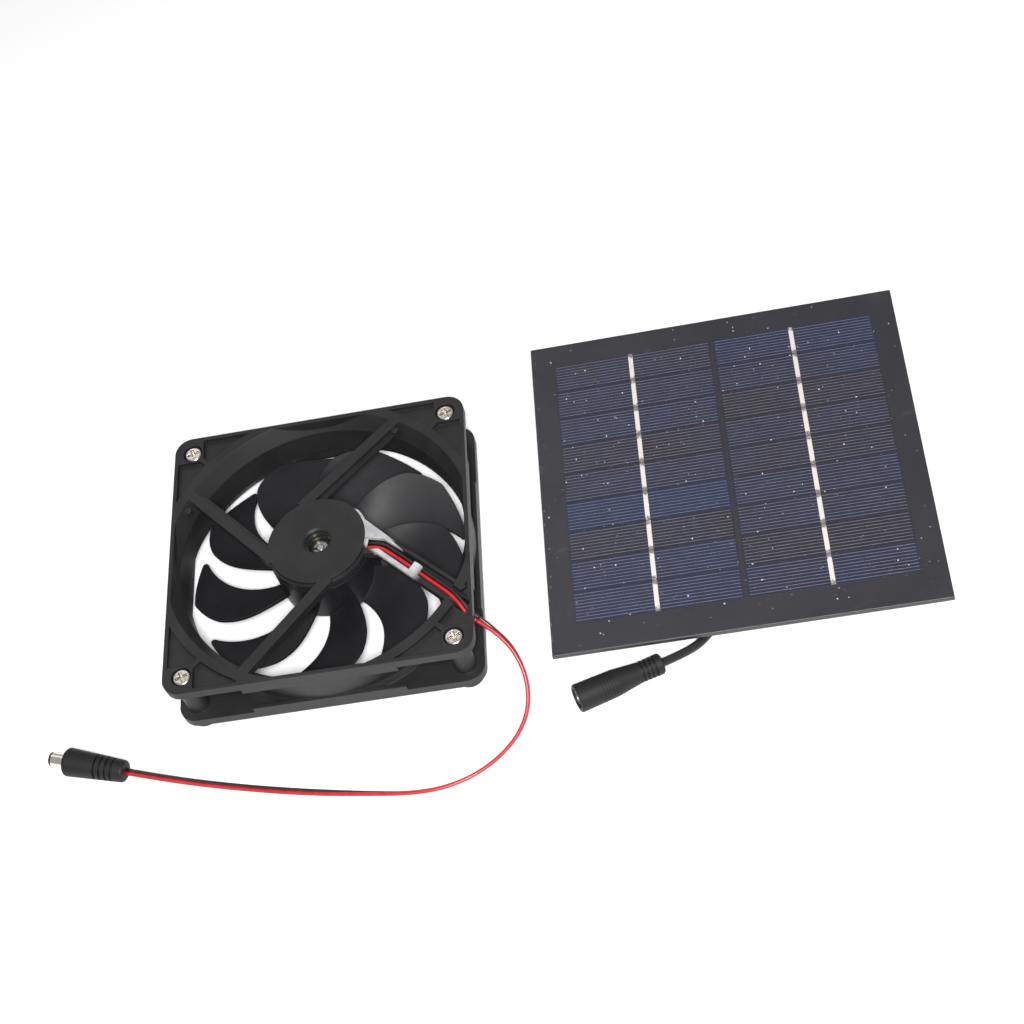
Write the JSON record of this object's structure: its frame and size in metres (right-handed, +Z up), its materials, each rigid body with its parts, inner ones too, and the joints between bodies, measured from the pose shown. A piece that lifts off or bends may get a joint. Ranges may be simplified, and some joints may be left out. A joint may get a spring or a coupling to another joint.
{
  "type": "solar attic fan",
  "caption": "Square axial fan with a sickle-bladed rotor, struts, corner screws and rubber feet, its DC lead and plug, and a square solar panel with a cable and DC socket.",
  "frame": {"origin": "on the floor, at the middle of the rectangle that the fan and the panel cover together, without their cords", "axes": "+X from the fan towards the panel, +Y to the back, +Z up; the fan blows towards +Z"},
  "size_m": [0.3489, 0.1971, 0.031],
  "materials": {
    "frame_plastic": "black PBT moulding, satin",
    "blade_plastic": "black PBT moulding, satin",
    "yoke_steel": "pressed steel",
    "magnet_ferrite": "ferrite-loaded rubber",
    "shaft_steel": "ground steel",
    "clip_nylon": "natural nylon",
    "tube_plastic": "moulded, dark",
    "bearing_bronze": "sintered bronze, oiled",
    "lamination_steel": "stamped silicon steel",
    "insulator_plastic": "natural nylon",
    "copper_winding": "enamelled copper wire",
    "board_laminate": "green solder mask",
    "chip_plastic": "black epoxy package",
    "screw_nickel": "nickel plated, bright",
    "nut_steel": "zinc plated",
    "foot_rubber": "matt black",
    "red_insulation": "soft PVC",
    "black_insulation": "soft PVC",
    "lead_insulation": "bonded red and black PVC pair",
    "plug_plastic": "moulded soft PVC",
    "barrel_nickel": "nickel plated",
    "tip_plastic": "black",
    "contact_brass": "sprung brass",
    "panel_laminate": "black glass-fibre board",
    "cell_silicon": "blue polycrystalline silicon, printed fingers",
    "ribbon_tin": "tinned copper ribbon",
    "front_epoxy": "clear front layer, slightly frosted, dusty",
    "box_plastic": "black ABS",
    "terminal_solder": "tinned pad",
    "diode_plastic": "black epoxy, tinned leads",
    "cable_jacket": "black PVC jacket",
    "socket_plastic": "moulded soft PVC",
    "sleeve_nickel": "nickel plated",
    "pin_nickel": "nickel plated pin on a black disc"
  },
  "bodies": {
    "fan_body": {"bearing_tube": "tube_plastic", "black_wire_inside": "black_insulation", "circuit_board": "board_laminate", "corner_nuts": "nut_steel", "corner_screws": "screw_nickel", "driver_chip": "chip_plastic", "fan_frame": "frame_plastic", "fan_lead": "lead_insulation", "hall_sensor": "chip_plastic", "lower_insulator": "insulator_plastic", "plug_barrel": "barrel_nickel", "plug_body": "plug_plastic", "plug_contact": "contact_brass", "plug_insulator": "tip_plastic", "red_wire_inside": "red_insulation", "rubber_feet": "foot_rubber", "sleeve_bearing": "bearing_bronze", "stator_coils": "copper_winding", "stator_core": "lamination_steel", "upper_insulator": "insulator_plastic"},
    "rotor": {"impeller": "blade_plastic", "rotor_yoke": "yoke_steel", "ring_magnet": "magnet_ferrite", "motor_shaft": "shaft_steel", "shaft_clip": "clip_nylon"},
    "panel_unit": {"panel_board": "panel_laminate", "cells_left": "cell_silicon", "cells_right": "cell_silicon", "ribbons_left": "ribbon_tin", "ribbons_right": "ribbon_tin", "front_layer": "front_epoxy", "junction_box": "box_plastic", "box_terminals": "terminal_solder", "blocking_diode": "diode_plastic", "panel_cable": "cable_jacket", "socket_body": "socket_plastic", "socket_sleeve": "sleeve_nickel", "socket_pin": "pin_nickel"}
  },
  "joints": [
    {"name": "rotor_spin", "type": "hinge", "parent": "fan_body", "child": "rotor", "pos_m": [-0.0876, -0.0183, 0.0155], "axis": [0, 0, -1], "continuous": true},
    {"name": "panel_shift", "type": "slide", "parent": "fan_body", "child": "panel_unit", "axis": [1, 0, 0], "range_m": [0, 0.3]}
  ]
}
